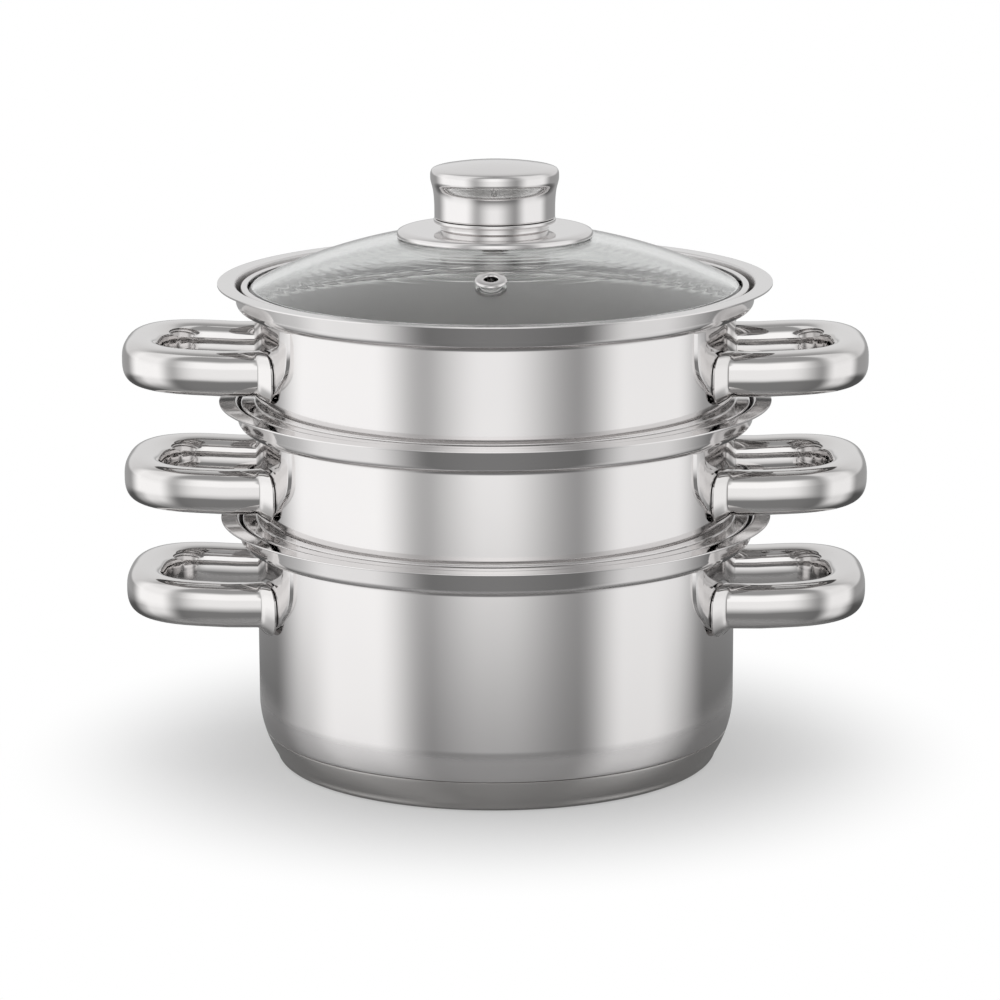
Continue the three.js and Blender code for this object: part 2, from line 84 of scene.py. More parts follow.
# %% [markdown]
# ## The sizes
#
# The few sizes that everything else follows are written once. The steel is 0.6 mm sheet. The heights of
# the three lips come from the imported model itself, so the drawing can't drift away from it.

# %% Sizes in millimetres
facets_round = 256
facets_small = 64
facets_bore = 48
wall_radius = 90.6
sheet = 0.6
gap = 0.3
lip_heights = {name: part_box(f"{name}_body")[1].z / mm for name in ("pot", "lower_steamer", "upper_steamer")}
lip_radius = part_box("pot_body")[1].x / mm
rim = {"band_radius": 98, "band_depth": 9.8, "taper": 0.7, "corner": 3.2}
rim.update({"lip_fillet": 0.4, "wall_fillet": 1.2})
base = {"cap_height": 12.2, "curve_height": 24, "curve_radius": 39, "edge_height": 2.5, "edge_corner": 2.4}
print("lips at", {name: round(height, 2) for name, height in lip_heights.items()})

# %% [markdown]
# ## Drawing and spinning a line
#
# A turned piece starts as a line in the XZ plane. A small plane is merged to one vertex at the line's
# start, and that vertex is extruded from point to point, as by hand. Each long stretch gets an extra
# point close to each end. Without these holding points, smooth shading would bend the reflections of a
# long straight wall near its corners.

# %% Points on a line
hold = 0.5


def arc(radius, height, size, start, end, steps=6):
    """Points on a round stretch, from one angle to another in degrees."""
    angles = [math.radians(start + (end - start) * i / steps) for i in range(steps + 1)]
    return [(radius + size * math.cos(a), height + size * math.sin(a)) for a in angles]


def held(line):
    """The line with holding points near the ends of its long stretches."""
    points = [line[0]]
    for (r0, z0), (r1, z1) in zip(line, line[1:]):
        length = math.hypot(r1 - r0, z1 - z0)
        if length > 4 * hold:
            for share in (hold / length, 1 - hold / length):
                points.append((r0 + (r1 - r0) * share, z0 + (z1 - z0) * share))
        points.append((r1, z1))
    return points


def smooth_line(knots, steps=6):
    """A flowing line through a few points."""
    padded = [knots[0], *knots, knots[-1]]
    points = [knots[0]]
    for p0, p1, p2, p3 in zip(padded, padded[1:], padded[2:], padded[3:]):
        for i in range(1, steps + 1):
            t = i / steps
            point = []
            for a, b, c, d in zip(p0, p1, p2, p3):
                square = 2 * a - 5 * b + 4 * c - d
                cube = 3 * b - a - 3 * c + d
                point.append(0.5 * (2 * b + (c - a) * t + square * t**2 + cube * t**3))
            points.append(tuple(point))
    return points


print("a quarter of a round corner:", [tuple(round(v, 2) for v in p) for p in arc(0, 0, 1, 0, 90, 2)])

# %% Drawing and spinning


def start_vertex(name, place):
    """One vertex at a place in millimetres, in edit mode."""
    bpy.ops.object.select_all(action="DESELECT")
    bpy.ops.mesh.primitive_plane_add(size=mm, location=(0, 0, 0))
    bpy.context.object.name = name
    bpy.ops.object.mode_set(mode="EDIT")
    bpy.ops.mesh.select_all(action="SELECT")
    bpy.ops.mesh.merge(type="CENTER")
    bpy.ops.transform.translate(value=[v * mm for v in place])


def draw(places):
    """Extrudes the selected vertex from place to place."""
    for before, after in zip(places, places[1:]):
        step = [(b - a) * mm for a, b in zip(before, after)]
        bpy.ops.mesh.extrude_vertices_move(TRANSFORM_OT_translate={"value": step})


def spun(name, line, closed=False, facets=facets_round):
    """Spins a line of (radius, height) points into a surface with its faces outwards."""
    points = held(line + [line[0]] if closed else line)
    places = [(radius, 0, height) for radius, height in points]
    start_vertex(name, places[0])
    draw(places)
    bpy.ops.mesh.select_all(action="SELECT")
    bpy.ops.mesh.spin(steps=facets, angle=2 * math.pi, center=(0, 0, 0), axis=(0, 0, 1))
    bpy.ops.mesh.select_all(action="SELECT")
    bpy.ops.mesh.remove_doubles(threshold=mm / 1000)
    bpy.ops.mesh.normals_make_consistent(inside=False)
    bpy.ops.object.mode_set(mode="OBJECT")
    return bpy.context.object


print("turned pieces have", facets_round, "facets round")

# %% [markdown]
# ## Sheet with a thickness
#
# The press gives a flat disc of sheet its shape, so the wall is as thick as the sheet all over. A spun
# line gives only the outer face, and the Solidify modifier adds the inner one. Its edges are then rounded
# a little with the Bevel modifier, because a sharp edge in real steel is always broken before it is
# polished, and a broken edge catches light.

# %% Sheet and edges
edge_round = 0.15
edge_angle = math.radians(50)


def apply_modifier(piece, kind, **settings):
    """Adds a modifier, sets it and applies it."""
    bpy.ops.object.select_all(action="DESELECT")
    piece.select_set(True)
    bpy.context.view_layer.objects.active = piece
    modifier = piece.modifiers.new(kind.title(), kind)
    for key, value in settings.items():
        setattr(modifier, key, value)
    bpy.ops.object.modifier_apply(modifier=modifier.name)


def rounded(piece, width, segments=2):
    """Rounds the piece's sharp edges, so that they catch the light."""
    sharp = {"limit_method": "ANGLE", "angle_limit": edge_angle}
    apply_modifier(piece, "BEVEL", width=width * mm, segments=segments, **sharp)


def face_outwards(piece):
    """Turns a spun sheet over if its widest face looks towards the axis."""
    widest = max(piece.data.polygons, key=lambda f: f.area * math.hypot(f.center.x, f.center.y))
    if widest.normal.dot(Vector((widest.center.x, widest.center.y, 0))) < 0:
        bpy.ops.object.mode_set(mode="EDIT")
        bpy.ops.mesh.select_all(action="SELECT")
        bpy.ops.mesh.flip_normals()
        bpy.ops.object.mode_set(mode="OBJECT")


def pressed(name, line, thickness=sheet, facets=facets_round):
    """A piece of sheet, given the line of its outer face."""
    piece = spun(name, line, facets=facets)
    face_outwards(piece)
    apply_modifier(piece, "SOLIDIFY", thickness=thickness * mm, offset=-1, use_even_offset=True)
    rounded(piece, min(edge_round, thickness / 4))
    return piece


print("edges are rounded by", edge_round, "mm")

# %% [markdown]
# ## Materials
#
# Stainless steel is an alloy of iron with chromium and nickel, a slightly dark, almost neutral metal. A
# mirror polish leaves it with very little roughness, but never none: the sheet keeps a faint ripple from
# the press, and wiping leaves faint patches. The noise textures draw both, at sizes in real millimetres.

# %% Node and colour helpers


def colour(code):
    """A colour written as sRGB hex, as linear values."""
    values = [int(code[i : i + 2], 16) / 255 for i in (1, 3, 5)]
    return [v / 12.92 if v <= 0.04045 else ((v + 0.055) / 1.055) ** 2.4 for v in values] + [1]


def add_node(tree, kind, links=None, **settings):
    """Adds one node, with its settings and what goes into its sockets."""
    node = tree.nodes.new(kind)
    for key, value in settings.items():
        setattr(node, key, value)
    for socket, value in (links or {}).items():
        if isinstance(value, bpy.types.NodeSocket):
            tree.links.new(value, node.inputs[socket])
        else:
            node.inputs[socket].default_value = value
    return node


def new_material(name, **values):
    """A material with a Principled shader, and the sockets that are the same all over."""
    material = bpy.data.materials.new(name)
    material.use_nodes = True
    shader = material.node_tree.nodes["Principled BSDF"]
    for socket, value in values.items():
        shader.inputs[socket.replace("_", " ")].default_value = value
    return material, material.node_tree, shader


print("white is", colour("#ffffff"), "and mid grey is", colour("#808080"))

# %% Steel
wiped_patch = 26
tone_patch = 60
# The middle of a noise texture's values, where nearly all of them lie
noise_middle = {"From Min": 0.35, "From Max": 0.65}


def steel(name, dark, light, smooth, rough, ripple, ripple_height, satin_inside=0):
    """Stainless steel, from the roughness of its clean and its wiped places and the ripple of its sheet."""
    material, tree, shader = new_material(name, Metallic=1)
    surface = add_node(tree, "ShaderNodeTexCoord").outputs
    place = surface["Object"]
    # Wiped patches, a thumb wide, change how sharp the mirror is
    patches = {"Vector": place, "Scale": 1 / (wiped_patch * mm), "Detail": 3}
    wiped = add_node(tree, "ShaderNodeTexNoise", patches).outputs[0]
    blur = {"Value": wiped, **noise_middle, "To Min": smooth, "To Max": rough}
    clean = add_node(tree, "ShaderNodeMapRange", blur).outputs[0]
    # Where the inside is only pressed, the faces that look towards the axis are duller
    flat = add_node(tree, "ShaderNodeVectorMath", {0: place, 1: (1, 1, 0)}, operation="MULTIPLY").outputs[0]
    outwards = add_node(tree, "ShaderNodeVectorMath", {0: flat}, operation="NORMALIZE").outputs[0]
    facing = {0: surface["Normal"], 1: outwards}
    towards = add_node(tree, "ShaderNodeVectorMath", facing, operation="DOT_PRODUCT").outputs["Value"]
    satin = {"Value": towards, "From Min": -0.9, "From Max": -0.4, "To Min": satin_inside, "To Max": 0}
    inside = add_node(tree, "ShaderNodeMapRange", satin).outputs[0]
    both = add_node(tree, "ShaderNodeMath", {0: clean, 1: inside}, operation="ADD").outputs[0]
    tree.links.new(both, shader.inputs["Roughness"])
    # Broad, faint changes of tone
    patches = {"Vector": place, "Scale": 1 / (tone_patch * mm), "Detail": 2}
    tone = add_node(tree, "ShaderNodeTexNoise", patches).outputs[0]
    tones = {0: tone, 6: colour(dark), 7: colour(light)}
    mix = add_node(tree, "ShaderNodeMix", tones, data_type="RGBA")
    tree.links.new(mix.outputs[2], shader.inputs["Base Color"])
    # The ripple of the pressed sheet bends the reflections a little
    waves = {"Vector": place, "Scale": 1 / (ripple * mm), "Detail": 1}
    wave = add_node(tree, "ShaderNodeTexNoise", waves).outputs[0]
    bump = add_node(tree, "ShaderNodeBump", {"Height": wave, "Strength": 1, "Distance": ripple_height * mm})
    tree.links.new(bump.outputs[0], shader.inputs["Normal"])
    return material


print("wiped patches are", wiped_patch, "mm wide")

# %% Steel finishes
# Drawn, and polished outside only: clear bands with slightly soft edges, and a dull grey inside
vessel_steel = steel("mirror_polished_vessel_steel", "#dddbdb", "#e3e1e0", 0.05, 0.09, 34, 0.012, 0.3)
# Pressed and polished all over: the same bands on every side
mirror_steel = steel("mirror_polished_stainless_steel", "#dddbdb", "#e3e1e0", 0.05, 0.09, 34, 0.012)
# Bent tube, buffed after bending: the sharpest mirror, with a slightly stronger ripple
loop_steel = steel("polished_stainless_tube", "#dddbda", "#e3e1e0", 0.04, 0.08, 30, 0.015)
# Brushed fine against wear: broad reflections without edges, a little darker than the wall above
satin_steel = steel("satin_stainless_steel", "#c8c6c4", "#d0cecc", 0.16, 0.22, 30, 0.01)
# Small, stiff pressings: clean bands that follow each turn of the shape
knob_steel = steel("polished_stainless_knob", "#dddbdb", "#e3e1e0", 0.05, 0.08, 20, 0.008)
# Turned on a lathe and left so: a darker grey with dull highlights
turned_steel = steel("turned_steel_fastener", "#a9a8a6", "#bdbbb8", 0.25, 0.35, 4, 0.01)
print("steel finishes ready")

# %% [markdown]
# ## The other materials
#
# Only the glass is seen from outside. The others show when the set is taken apart: a rolled aluminium
# disc, a moulded plastic core, a turned brass nut and silicone rubber. All four have a fine grain from
# how they were made, so one function draws them, and the colour and the roughness both follow the grain.

# %% Grained materials


def grained(name, dark, light, smooth, rough, grain, height, **values):
    """A material with a fine grain, its colour and roughness varied with it."""
    material, tree, shader = new_material(name, **values)
    place = add_node(tree, "ShaderNodeTexCoord").outputs["Object"]
    grains = {"Vector": place, "Scale": 1 / (grain * mm), "Detail": 3}
    pattern = add_node(tree, "ShaderNodeTexNoise", grains).outputs[0]
    tones = {0: pattern, 6: colour(dark), 7: colour(light)}
    mix = add_node(tree, "ShaderNodeMix", tones, data_type="RGBA")
    tree.links.new(mix.outputs[2], shader.inputs["Base Color"])
    blur = {"Value": pattern, **noise_middle, "To Min": smooth, "To Max": rough}
    tree.links.new(add_node(tree, "ShaderNodeMapRange", blur).outputs[0], shader.inputs["Roughness"])
    bump = add_node(tree, "ShaderNodeBump", {"Height": pattern, "Strength": 1, "Distance": height * mm})
    tree.links.new(bump.outputs[0], shader.inputs["Normal"])
    return material


# Rolled plate: pale, dull metal with a cloudy grain
aluminium = grained("rolled_aluminium", "#b4b6b8", "#c4c6c8", 0.35, 0.5, 2, 0.02, Metallic=1)
# Turned bar: warm yellow metal with soft highlights
brass = grained("turned_brass", "#b08f4c", "#c9a862", 0.25, 0.4, 1.5, 0.02, Metallic=1)
# Moulded thermoset: near black, with the slight shine of its mould
phenolic = grained("moulded_phenolic_plastic", "#161616", "#202020", 0.4, 0.55, 1.2, 0.02)
# Moulded rubber: dark grey without a highlight
silicone = grained("silicone_rubber", "#1b1b1c", "#262627", 0.6, 0.75, 1, 0.02)
print("grained materials ready")

# %% Glass
glass_smear = 30

# Pressed and tempered: clear, with a faint grey tint where it is thick and smears that are just less sharp
glass, glass_tree, glass_shader = new_material("tempered_soda_lime_glass", Transmission_Weight=1, IOR=1.52)
glass_place = add_node(glass_tree, "ShaderNodeTexCoord").outputs["Object"]
smears = {"Vector": glass_place, "Scale": 1 / (glass_smear * mm), "Detail": 3}
smear = add_node(glass_tree, "ShaderNodeTexNoise", smears).outputs[0]
tints = {0: smear, 6: colour("#e2e4e3"), 7: colour("#eaebea")}
tint = add_node(glass_tree, "ShaderNodeMix", tints, data_type="RGBA").outputs[2]
glass_tree.links.new(tint, glass_shader.inputs["Base Color"])
glass_blur = {"Value": smear, **noise_middle, "To Min": 0, "To Max": 0.02}
glass_roughness = add_node(glass_tree, "ShaderNodeMapRange", glass_blur).outputs[0]
glass_tree.links.new(glass_roughness, glass_shader.inputs["Roughness"])
print("glass ready")

# %% [markdown]
# ## Finishing a piece
#
# Every finished piece rides on the body that carries it, stands for the node of the imported model that it
# replaces, and gets its material.

# %% Finish helper
smooth_angle = math.radians(35)


def finished(piece, name, body, material, node):
    """Shades a piece, gives it its material and ties it to the frame."""
    piece.name = name
    piece.data.name = name
    bpy.ops.object.select_all(action="DESELECT")
    piece.select_set(True)
    bpy.context.view_layer.objects.active = piece
    bpy.ops.object.transform_apply(location=True, rotation=True, scale=True)
    bpy.ops.object.shade_smooth_by_angle(angle=smooth_angle)
    piece.data.materials.clear()
    piece.data.materials.append(material)
    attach(piece, body)
    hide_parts(node)
    print(name, len(piece.data.polygons), "faces")


print("edges sharper than", round(math.degrees(smooth_angle)), "degrees stay sharp")

# %% [markdown]
# ## The rims
#
# Each vessel ends in the same rim: the wall steps out to a shoulder, which carries the piece above, turns
# up into a band, and ends in a flat lip. The line runs up the outside of the wall. Real pressed steel has
# no sharp corners, so each turn is an arc.

# %% Rim line


def rim_line(lip):
    """The outer line of a rim, from the top of the wall to the edge of the lip."""
    underside = lip - rim["band_depth"]
    fillet = rim["wall_fillet"]
    corner = rim["corner"]
    band_foot = rim["band_radius"] - rim["taper"]
    lip_fillet = rim["lip_fillet"]
    lip_under = lip - sheet
    return [
        *arc(wall_radius + fillet, underside - fillet, fillet, 180, 90),
        *arc(band_foot - corner, underside + corner, corner, -90, 0, 10),
        *arc(rim["band_radius"] + lip_fillet, lip_under - lip_fillet, lip_fillet, 180, 90),
        (lip_radius, lip_under),
    ]


print("the pot's rim has", len(rim_line(lip_heights["pot"])), "points")

# %% [markdown]
# ## The pot
#
# The pot's side curves in below the wall on a large radius, down to a seam. Under the seam lies the base:
# an aluminium disc that spreads the heat, closed in by a pressed steel cap. The body steps in at the
# seam, where the cap's edge meets it.

# %% Pot body


def base_radius(height):
    """Radius of the pot's curved side at a height."""
    drop = base["curve_height"] - height
    return wall_radius - base["curve_radius"] + math.sqrt(base["curve_radius"] ** 2 - drop**2)


def base_side(low, high, steps=10):
    """Points up the curved side."""
    heights = [low + (high - low) * i / steps for i in range(steps + 1)]
    return [(base_radius(height), height) for height in heights]


seam = base["cap_height"] + gap
pot_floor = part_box("pot_base_disc")[1].z / mm + gap
tuck_gap = 0.48
tuck = base_radius(seam) - sheet - tuck_gap
# The floor's corner, as places in from the tuck and up from the floor
floor_corner = [(13.6, 0), (5.7, 2.2), (1.4, 4.8)]
corner_knots = [(tuck - inwards, pot_floor + up) for inwards, up in floor_corner]
pot_line = [
    (0, pot_floor),
    *smooth_line([*corner_knots, (tuck, seam)]),
    *base_side(seam, base["curve_height"]),
    *rim_line(lip_heights["pot"]),
]
finished(pressed("pot", pot_line), "pot_shell", "pot", vessel_steel, "pot_body")

# %% [markdown]
# ### The base cap
#
# The cap is a shallow pan of steel that is pressed up round the disc and closes the base. Its face is
# flat, its edge is rounded, and its side follows the pot's curve, so its line takes its points from the
# same function as the pot's.

# %% Base cap
cap_edge = base_radius(base["edge_height"])
cap_steps = 6
cap_corner = [
    (cap_edge - base["edge_corner"] * (1 - math.sin(a)), base["edge_height"] * (1 - math.cos(a)))
    for a in [math.pi / 2 * i / cap_steps for i in range(cap_steps + 1)]
]
cap_line = [(0, 0), *cap_corner, *base_side(base["edge_height"], base["cap_height"])[1:]]
finished(pressed("cap", cap_line), "pot_capsule", "pot", satin_steel, "pot_base_cap")

# %% [markdown]
# ## The steamer inserts
#
# An insert drops a short foot into the vessel below and sits on its shoulder with a deep pressed bead,
# which fills that vessel's rim up to the lip and keeps the steam in. Steam comes up through holes punched
# in its floor, in rings a fixed distance apart. A Boolean modifier cuts the holes, with one punch for
# each hole, all joined into one tool.

# %% Insert line
insert = {"foot_clearance": 0.8, "foot_depth": 7, "foot_corner": 4.5}
insert.update({"bead_clearance": 1.3, "bead_drop": 0.5, "bead_corner": 1.8, "bead_top_corner": 0.6})
insert.update({"bead_fillet": 0.5})


def insert_line(lip_below, lip):
    """The height of an insert's floor, and its outer line from the middle of the floor to the lip."""
    seat = lip_below - rim["band_depth"] + sheet + gap
    floor = seat - insert["foot_depth"]
    foot = wall_radius - sheet - insert["foot_clearance"]
    corner = insert["foot_corner"]
    bead = rim["band_radius"] - sheet - insert["bead_clearance"]
    bead_top = lip_below - insert["bead_drop"]
    round_low, round_top, fillet = insert["bead_corner"], insert["bead_top_corner"], insert["bead_fillet"]
    return floor, [
        (0, floor),
        *arc(foot - corner, floor + corner, corner, -90, 0),
        (foot, seat),
        *arc(bead - round_low, seat + round_low, round_low, -90, 0),
        *arc(bead - round_top, bead_top - round_top, round_top, 0, 90),
        *arc(wall_radius + fillet, bead_top + fillet, fillet, -90, -180),
        *rim_line(lip),
    ]


print("an insert's foot goes", insert["foot_depth"], "mm below its seat")

# %% Punches
holes = {"radius": 2.7, "pitch": 20, "rings": 3, "per_ring": 6, "punch": 4, "facets": 24}


def punches(floor):
    """One mesh of all the punches, set across the floor."""
    bpy.ops.object.select_all(action="DESELECT")
    tools = []
    for ring in range(holes["rings"] + 1):
        count = max(ring * holes["per_ring"], 1)
        for i in range(count):
            angle = (i + 0.5) / count * 2 * math.pi
            reach = ring * holes["pitch"] * mm
            place = (reach * math.cos(angle), reach * math.sin(angle), (floor + sheet / 2) * mm)
            size = {"radius": holes["radius"] * mm, "depth": holes["punch"] * mm}
            bpy.ops.mesh.primitive_cylinder_add(vertices=holes["facets"], location=place, **size)
            tools.append(bpy.context.object)
    for tool in tools:
        tool.select_set(True)
    bpy.ops.object.join()
    return bpy.context.object


def cut(piece, tool, operation="DIFFERENCE"):
    """Cuts a tool from a piece, joins it on or keeps what both share, and clears the tool away."""
    apply_modifier(piece, "BOOLEAN", object=tool, operation=operation, solver="EXACT")
    bpy.data.objects.remove(tool)


print("steam holes are", 2 * holes["radius"], "mm wide")

# %% Insert bodies
insert_below = {"lower_steamer": "pot", "upper_steamer": "lower_steamer"}
for name, below in insert_below.items():
    floor, line = insert_line(lip_heights[below], lip_heights[name])
    shell = pressed(name, line)
    cut(shell, punches(floor))
    finished(shell, f"{name}_shell", name, vessel_steel, f"{name}_body")

# %% [markdown]
# ## The handles
#
# Each handle is a loop of hollow steel, taller than it is thick. Its section, a box with very soft
# corners, is drawn once and extruded along the loop, with a small turn at each step so that it stays
# square to the way. Each leg's end is flared against the wall, like a trumpet's bell. The first handle is
# modelled once, cut to the curve of the wall, and then copied.

# %% Handle sizes
handle = {"drop": {"pot": 28.7, "lower_steamer": 30, "upper_steamer": 30}, "half_width": 39.5}
handle.update({"height": 16.5, "thickness": 14.5, "wall": 1.2, "rise": 1.6, "bend_start": 107})
handle.update({"power": 2.8, "section_power": 2.8, "overlap": 3, "straight": 9})
flare = {"length": 3, "outwards": 5, "inwards": 1.5, "up": 0.4, "down": 2.6, "power": 1.4, "rings": 6}
bracket_plate = 0.8
leg_end = wall_radius + gap + bracket_plate + gap
leg_seat = math.sqrt(leg_end**2 - (handle["half_width"] + flare["outwards"]) ** 2)
leg_start = leg_seat - handle["overlap"]
straight_end = wall_radius + handle["straight"]
handle_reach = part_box("pot_right_handle")[1].x / mm
print("the loop reaches", round(handle_reach, 1), "mm from the axis")

# %% Way of the loop


def loop_way(count=84):
    """Places along the middle of the loop, at even steps from one leg's end to the other's."""
    side = handle["half_width"] - handle["thickness"] / 2
    end = handle_reach - handle["thickness"] / 2
    fine = 400
    dense = [(leg_start, -side)]
    for i in range(fine + 1):
        t = math.pi * i / fine
        x = handle["bend_start"] + (end - handle["bend_start"]) * math.sin(t) ** (2 / handle["power"])
        y = -side * math.copysign(abs(math.cos(t)) ** (2 / handle["power"]), math.cos(t))
        dense.append((x, y))
    dense.append((leg_start, side))
    lengths = [0]
    for a, b in zip(dense, dense[1:]):
        lengths.append(lengths[-1] + math.dist(a, b))
    way = []
    place = 0
    for i in range(count + 1):
        target = lengths[-1] * i / count
        while place < len(lengths) - 2 and lengths[place + 1] < target:
            place += 1
        share = (target - lengths[place]) / (lengths[place + 1] - lengths[place])
        x, y = [a + (b - a) * share for a, b in zip(dense[place], dense[place + 1])]
        way.append((x, y, handle["rise"] * max(x - straight_end, 0) / (end - straight_end)))
    return way


print("the loop's way has", len(loop_way()), "places")

# %% Section and sweep


def section_ring(name, half_thickness, half_height, place, count=48):
    """An upright ring with the loop's section, at a place in millimetres, in edit mode."""
    x, y, z = place
    bend = 2 / handle["section_power"]
    ring = []
    for i in range(count + 1):
        angle = 2 * math.pi * (i + 0.5) / count
        across = math.copysign(abs(math.cos(angle)) ** bend, math.cos(angle))
        up = math.copysign(abs(math.sin(angle)) ** bend, math.sin(angle))
        ring.append((x, y + half_thickness * across, z + half_height * up))
    start_vertex(name, ring[0])
    draw(ring)
    bpy.ops.mesh.select_all(action="SELECT")
    bpy.ops.mesh.remove_doubles(threshold=mm / 1000)


def sweep(way):
    """Extrudes the selected ring along a way, turning it by the way's change of heading at each step."""
    headings = [math.atan2(b[1] - a[1], b[0] - a[0]) for a, b in zip(way, way[1:])]
    before = 0
    for i in range(1, len(way)):
        step = [(b - a) * mm for a, b in zip(way[i - 1], way[i])]
        bpy.ops.mesh.extrude_edges_move(TRANSFORM_OT_translate={"value": step})
        after = headings[i - 1] if i == len(way) - 1 else (headings[i - 1] + headings[i]) / 2
        centre = [v * mm for v in way[i]]
        # Without a window, rotate turns the other way, so the angle is given the other way round
        bpy.ops.transform.rotate(value=before - after, orient_axis="Z", center_override=centre)
        before = after


print("the section is", handle["thickness"], "by", handle["height"], "mm")

# %% Loop


def outward(piece):
    """Points the faces of a newly drawn piece outwards."""
    bpy.ops.object.mode_set(mode="EDIT")
    bpy.ops.mesh.select_all(action="SELECT")
    bpy.ops.mesh.normals_make_consistent(inside=False)
    bpy.ops.object.mode_set(mode="OBJECT")


half_thickness = handle["thickness"] / 2
half_height = handle["height"] / 2
leg_side = handle["half_width"] - half_thickness
way = loop_way()
section_ring("loop", half_thickness, half_height, way[0])
sweep(way)
bpy.ops.object.mode_set(mode="OBJECT")
loop = bpy.context.object
outward(loop)
apply_modifier(loop, "SOLIDIFY", thickness=handle["wall"] * mm, offset=-1, use_even_offset=True)
print("loop", len(loop.data.polygons), "faces")

# %% [markdown]
# ### The flares
#
# A leg's end spreads against the wall, so that the weld has a wide seat. The flare is extruded from the
# leg's own section, ring by ring, each a little wider and taller than the last. It is made flat against
# the plane that touches the wall in the middle of its edge, and turned to its place.

# %% Flare
flare_inset = 0.6
flare_overlap = 2
# The flare's start is hidden in the leg, as places past its length, each with a spread and an inset
flare_start = [(0.9, 0, -flare_inset), (0.3, 0, -0.1)]
edge_low = handle["half_width"] - handle["thickness"] - flare["inwards"]
edge_high = handle["half_width"] + flare["outwards"]
edge_middle = (edge_low + edge_high) / 2
lean = math.asin(edge_middle / leg_end)


def flare_ring(along, spread, inset):
    """Half width, half height and middle of a ring. A spread of 0 is the leg's section, and 1 the edge."""
    off = edge_middle - leg_side
    middle = -(along + off * math.sin(lean)) * math.tan(lean) - off * math.cos(lean)
    wide = (half_thickness + inset) / math.cos(lean)
    edge_wide = (edge_high - edge_low) / 2 / math.cos(lean)
    tall = half_height + inset + spread * (flare["up"] + flare["down"]) / 2
    lift = spread * (flare["up"] - flare["down"]) / 2
    return wide + spread * (edge_wide - wide), tall, (along, middle * (1 - spread), lift)


def flare_piece(turn):
    """A leg's flare in its place on the wall. The turn is 1 for the far leg and -1 for the near one."""
    steps = flare["rings"]
    length = flare["length"]
    profile = [(length + past, spread, inset) for past, spread, inset in flare_start]
    profile += [(length * (1 - i / steps), (i / steps) ** flare["power"], 0) for i in range(1, steps + 1)]
    profile += [(-flare_overlap, 1, 0), (-flare_overlap, 0, -flare_inset), profile[0]]
    rings = [flare_ring(*stage) for stage in profile]
    wide, tall, middle = rings[0]
    section_ring("flare", wide, tall, middle)
    for (wide, tall, middle), (next_wide, next_tall, next_middle) in zip(rings, rings[1:]):
        step = [(b - a) * mm for a, b in zip(middle, next_middle)]
        bpy.ops.mesh.extrude_edges_move(TRANSFORM_OT_translate={"value": step})
        growth = (1, next_wide / wide, next_tall / tall)
        bpy.ops.transform.resize(value=growth, center_override=[v * mm for v in next_middle])
    bpy.ops.mesh.select_all(action="SELECT")
    bpy.ops.mesh.remove_doubles(threshold=mm / 100)
    if turn < 0:
        bpy.ops.transform.mirror(constraint_axis=(False, True, False), center_override=(0, 0, 0))
    bpy.ops.object.mode_set(mode="OBJECT")
    piece = bpy.context.object
    outward(piece)
    piece.rotation_euler = (0, 0, turn * lean)
    piece.location = (leg_end * math.cos(lean) * mm, turn * leg_end * math.sin(lean) * mm, 0)
    bpy.context.view_layer.update()
    return piece


print("the flare's edge is", round(edge_high - edge_low, 1), "mm wide")

# %% Legs cut to the wall
tool_depth = 60


def wall_tool(radius):
    """A cylinder that cuts the legs to the curve of the wall."""
    bpy.ops.object.select_all(action="DESELECT")
    size = {"radius": radius * mm, "depth": tool_depth * mm}
    bpy.ops.mesh.primitive_cylinder_add(vertices=facets_round, location=(0, 0, 0), **size)
    return bpy.context.object


for turn in (-1, 1):
    cut(loop, flare_piece(turn), "UNION")
cut(loop, wall_tool(leg_end))
print("loop handle", len(loop.data.polygons), "faces")

# %% [markdown]
# ## The brackets
#
# A pressed bracket is welded to the wall behind each handle. Its plate follows the wall and rises beside
# each leg in an ear like a hook, which reaches the rim. The plate's outline is drawn flat, filled, pushed
# through a thin ring of steel as wide as the wall, and only what both share is kept.

# %% Bracket
bracket = {"wing": 13.4, "wing_top": 4.3, "margin": 0.25, "strap": 1.5, "edge": 0.6}
# Edges of the ear, as places out from the leg's outer side and up from the handle's middle
ear_outside = [(4.6, -5.4), (8, -1.9), (11.4, 2.2), (12.9, 6.2), (bracket["wing"], 11.5)]
ear_inside = [(7.7, 13.2), (4.5, 11.4), (-1.5, 7.6)]
ear_foot = 1.2
bridge_height = 6.6
strap_share = 0.8


def bracket_outline(top):
    """The plate's outline, as places across and up from the handle's middle."""
    inner = handle["half_width"] - handle["thickness"]
    leg = handle["half_width"]
    wing = leg + bracket["wing"]
    bottom = -half_height - bracket["margin"]
    outside = [(leg + out, up) for out, up in ear_outside]
    inside = [(leg + out, up) for out, up in ear_inside]
    outer_edge = smooth_line([(leg - ear_foot, bottom), *outside, (wing, top)], 4)
    inner_edge = smooth_line([(wing - bracket["wing_top"], top), *inside, (inner, bridge_height)], 4)
    half = [(inner, bottom), *outer_edge, *inner_edge, (inner * strap_share, -bracket["strap"])]
    return half + [(-across, up) for across, up in reversed(half)]


